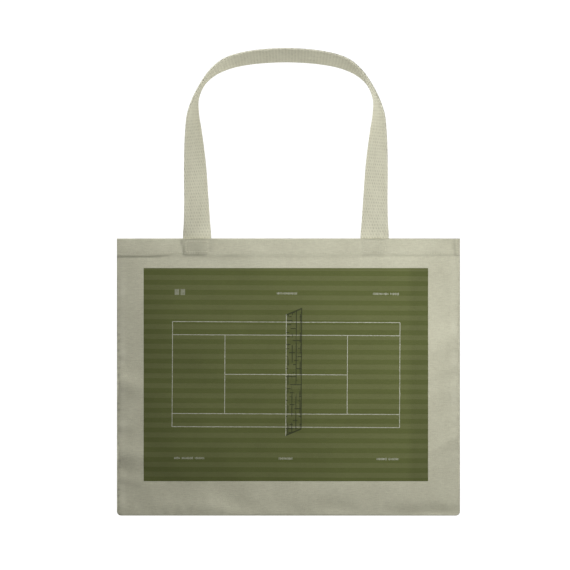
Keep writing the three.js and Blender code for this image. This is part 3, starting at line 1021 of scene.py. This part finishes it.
# Half a handle's centreline from the top of the loop to the lower end that is sewn in: X and Z in
# millimetres, and how far the webbing has turned, in degrees, from facing the front to edge-on.
HANDLE_STATIONS = [
    (0, 9, 64.5), (46, 5.4, 66), (70.5, -1.5, 70), (86.3, -12, 79), (97.2, -25, 85),
    (105, -42, 80.5), (108, -60, 67.5), (107.6, -80, 56), (105.6, -122, 39.5), (104, -165, 30),
    (103.5, -190, 18), (103.4, -203.7, 0), (103.4, -214, 0), (103.4, -224, 0),
]
INNER_EDGE_Y = 2.5 * MM  # how near the mid-plane a turned handle's inner edge comes
STRAP_STEP = 1.6 * MM
STRAP_COLUMN = 2 * MM
STRAP_EDGE_RADIUS = 0.9 * MM
STRAP_EDGE_TURNS = np.radians([82, 60, 40, 20, 0])
STRAP_EDGE_RUBBED = 0.2


def catmull_rom(points, per_span=24):
    """Points along the centripetal Catmull-Rom curve through points, whose first three columns are
    their places."""
    ends = [2 * points[0] - points[1], 2 * points[-1] - points[-2]]
    p = np.vstack([ends[0], points, ends[1]])
    found = []
    for a, b, c, d in zip(p, p[1:], p[2:], p[3:]):
        gaps = [np.linalg.norm((q - r)[:3]) ** 0.5 for q, r in ((b, a), (c, b), (d, c))]
        out = ((b - a) / gaps[0] - (c - a) / (gaps[0] + gaps[1]) + (c - b) / gaps[1]) * gaps[1]
        into = ((c - b) / gaps[1] - (d - b) / (gaps[1] + gaps[2]) + (d - c) / gaps[2]) * gaps[1]
        t = np.linspace(0, 1, per_span, endpoint=False)[:, None]
        square, cube = 3 * (c - b) - 2 * out - into, 2 * (b - c) + out + into
        found.append(b + out * t + square * t**2 + cube * t**3)
    return np.vstack([*found, points[-1:]])


def handle_line(side):
    """Evenly spaced points along a whole handle, with the turn there in radians and the length."""
    half = np.array(HANDLE_STATIONS, float)
    whole = np.vstack([half[:0:-1] * (-1, 1, 1), half])
    x, z, turn = whole[:, 0] * MM, whole[:, 1] * MM, np.radians(whole[:, 2])
    y = side * np.maximum(STRAP_Y, INNER_EDGE_Y + STRAP_WIDTH / 2 * np.sin(turn))
    dense = catmull_rom(np.stack([x, y, z, turn], -1))
    walked = np.concatenate([[0], np.cumsum(np.linalg.norm(np.diff(dense[:, :3], axis=0), axis=1))])
    at = steps(0, walked[-1], STRAP_STEP)
    line = np.stack([np.interp(at, walked, dense[:, n]) for n in range(4)], -1)
    return line[:, :3], line[:, 3], at


def unit(v):
    return v / np.linalg.norm(v, axis=-1, keepdims=True)


def handle_webbing(side):
    """A whole handle, and the length of its strap."""
    line, turn, along = handle_line(side)
    tangent = unit(np.gradient(line, axis=0))
    inward = unit(np.stack([tangent[:, 2], np.zeros(len(line)), -tangent[:, 0]], -1))
    across = inward * np.cos(turn)[:, None]
    across[:, 1] = -side * np.sin(turn)
    across = unit(across - tangent * np.sum(across * tangent, -1, keepdims=True))
    through = np.cross(tangent, across)
    rim = STRAP_WIDTH / 2 - STRAP_EDGE_RADIUS + STRAP_EDGE_RADIUS * np.sin(STRAP_EDGE_TURNS)
    half = (STRAP_THICKNESS / 2 - STRAP_EDGE_RADIUS) + STRAP_EDGE_RADIUS * np.cos(STRAP_EDGE_TURNS)
    inner = steps(-rim[-1], rim[-1], STRAP_COLUMN)[1:-1]
    a = np.concatenate([-rim, inner, rim[::-1]])
    h = np.concatenate([half, np.full(len(inner), STRAP_THICKNESS / 2), half[::-1]])
    a, h = np.concatenate([a, a[::-1]]), np.concatenate([h, -h[::-1]])
    loops = line[:, None] + across[:, None] * a[:, None] + through[:, None] * h[:, None]
    face = np.sign(h) * 0.5
    weave = np.stack(np.broadcast_arrays(a[None], along[:, None], face[None]), -1)
    rubbed_and_highlight = STRAP_EDGE_RUBBED * hump(np.abs(a), STRAP_WIDTH / 2, 1 * MM)
    tones = np.broadcast_to(rubbed_and_highlight[None], loops.shape[:2])
    name = f"{SIDE_WORDS[side]}_handle_webbing"
    return loft(name, loops, WEBBING_FINISH, weave, tones), along[-1]


def add_handle(side):
    word = SIDE_WORDS[side]
    webbing, length = handle_webbing(side)
    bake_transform(webbing)
    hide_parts(f"{word}_handle_loop", f"{word}_handle_end_left", f"{word}_handle_end_right")


# ---- Seams inside the bag ----

SEAM_PLY = 0.78 * MM
SEAM_GAP = 0.05 * MM  # half the gap between the two plies
SEAM_ROUNDING = 0.35 * MM
SEAM_NOTCH = 1.5 * MM  # how far from the fold that gap ends
SEAM_INSET = 0.5 * MM  # how far the sewn line lies inside the panels' outline
FOLD_CLEARANCE = 1 * MM  # how far short of the sewn line the fold stays
RAW_EDGE_RUBBED = 0.3
OVERLOCK_PITCH = 2.6 * MM
OVERLOCK_RADIUS = 0.15 * MM
OVERLOCK_WIDTH = 5 * MM
OVERLOCK_OVERHANG = 0.4 * MM  # past the raw edge
OVERLOCK_OFFSET = 1.02 * MM  # from the seam's middle
OVERLOCK_RINGS = 14  # in a turn of the coil
OVERLOCK_SIDES = 6
OVERLOCK_STEP = 1.2 * MM  # about the length of thread between two rings


def seam_section():
    """Two plies side by side: pairs of a place from the raw edge to the fold, and an offset."""
    edge = SEAM_ALLOWANCE - FOLD_CLEARANCE
    places = np.concatenate([steps(0, edge - SEAM_ROUNDING, 2 * MM), [edge - 0.1 * MM, edge]])
    rounded = [SEAM_PLY - 0.15 * MM, SEAM_PLY - SEAM_ROUNDING]
    offsets = np.concatenate([np.full(len(places) - 2, SEAM_PLY), rounded])
    notch = np.minimum(places, edge - SEAM_NOTCH)
    outer = np.stack([places, offsets], -1)
    inner = np.stack([notch, np.full_like(notch, SEAM_GAP)], -1)
    return np.concatenate([outer, (outer * (1, -1))[::-1], inner * (1, -1), inner[::-1]])


def side_seam_map(end):
    """Maps a seam's own inset from its raw edge, offset and height to points of the bag."""
    raw = CENTRE_X + end * (HALF_WIDTH - SEAM_INSET - SEAM_ALLOWANCE)
    return lambda inset, off, at: np.stack(np.broadcast_arrays(raw + end * inset, off, at), -1)


def bottom_seam_map():
    """The same for the bottom seam, which runs along X."""
    raw = BOTTOM + SEAM_INSET + SEAM_ALLOWANCE
    return lambda inset, off, at: np.stack(np.broadcast_arrays(at, off, raw - inset), -1)


def seam_strip(name, to_bag, length, start):
    """A seam's cloth: its section carried along the seam, with a slightly uneven raw edge."""
    place, off = seam_section().T
    at = steps(start, start + length, 3 * MM)[:, None]
    uneven = 0.12 * MM * np.sin(at / (7 * MM)) + 0.08 * MM * np.sin(at / (2.9 * MM))
    inset = place + uneven * (1 - place / SEAM_ALLOWANCE)
    weave = np.stack(np.broadcast_arrays(inset, at, 0.0), -1)
    rubbed_and_highlight = RAW_EDGE_RUBBED * hump(inset, 0, 0.8 * MM)
    return loft(name, to_bag(inset, off, at), CANVAS_FINISH, weave, rubbed_and_highlight, crease=40)


def flattened(wave):
    """A sine or cosine drawn out towards a square wave, so that the coil lies flat on the cloth."""
    return np.sign(wave) * np.abs(wave) ** 0.6


def overlock_coil(name, to_bag, length, start):
    """Thread wound over a seam's raw edge, as a flattened helix."""
    count = int(length / OVERLOCK_PITCH) * OVERLOCK_RINGS + 1
    turn = np.arange(count) / OVERLOCK_RINGS * 2 * math.pi
    at = start + np.arange(count) / OVERLOCK_RINGS * OVERLOCK_PITCH
    reach = OVERLOCK_WIDTH / 2
    inset = reach - OVERLOCK_OVERHANG + reach * flattened(np.cos(turn))
    line = to_bag(inset, OVERLOCK_OFFSET * flattened(np.sin(turn)), at)
    tangent = unit(np.gradient(line, axis=0))
    seam_run = to_bag(0.0, 0.0, 1.0) - to_bag(0.0, 0.0, 0.0)
    away = unit(np.cross(tangent, seam_run))
    other = np.cross(tangent, away)
    part = np.arange(OVERLOCK_SIDES) / OVERLOCK_SIDES
    around = (part * 2 * math.pi)[:, None]
    ring = away[:, None] * np.cos(around) + other[:, None] * np.sin(around)
    walked = np.arange(count) * OVERLOCK_STEP
    weave = np.stack(np.broadcast_arrays(walked[:, None], part, 0.0), -1)
    return loft(name, line[:, None] + OVERLOCK_RADIUS * ring, THREAD_FINISH, weave, crease=75)


def add_seam(word, cloth_node, to_bag, axis):
    """One seam's cloth and the thread on its raw edge, running along that axis of the bag."""
    for make, name, node, slot in (
        (seam_strip, f"{word}_seam_cloth", cloth_node, "canvas"),
        (overlock_coil, f"{word}_overlock_coil", f"{word}_overlock_thread", "thread"),
    ):
        low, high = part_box(node)
        piece = make(name, to_bag, high[axis] - low[axis], low[axis])
        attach(piece, "seams")
        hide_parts(node)


def add_seams():
    for end in (LEFT, RIGHT):
        word = END_WORDS[end]
        add_seam(word, f"{word}_side_seam", side_seam_map(end), axis=2)
    add_seam("bottom", "bottom_seam", bottom_seam_map(), axis=0)


for side in (FRONT, BACK):
    add_panel(side)
    add_handle(side)
add_seams()
